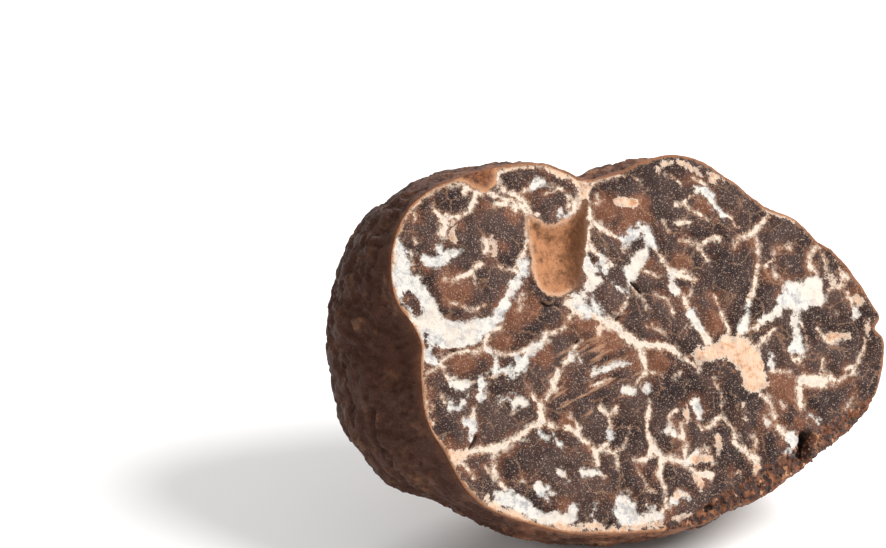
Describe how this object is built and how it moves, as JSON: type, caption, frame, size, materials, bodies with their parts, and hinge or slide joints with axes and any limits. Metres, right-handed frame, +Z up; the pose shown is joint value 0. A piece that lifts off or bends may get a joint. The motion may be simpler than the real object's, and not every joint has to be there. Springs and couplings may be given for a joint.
{
  "type": "halved truffle",
  "caption": "Half of a ripe truffle cut through to show its marbled flesh, with rounded skin behind, resting on a small flat spot.",
  "frame": {"origin": "middle of the bounding box's bottom face, on the surface that the half rests on", "axes": "+X along the length of the cut, -Y the side the cut face looks to as it leans back, +Z up"},
  "size_m": [0.0652, 0.0388, 0.0462],
  "materials": {
    "truffle_skin": "smooth leathery skin over marbled flesh"
  },
  "bodies": {
    "root": {"truffle_half": "truffle_skin"}
  },
  "joints": []
}
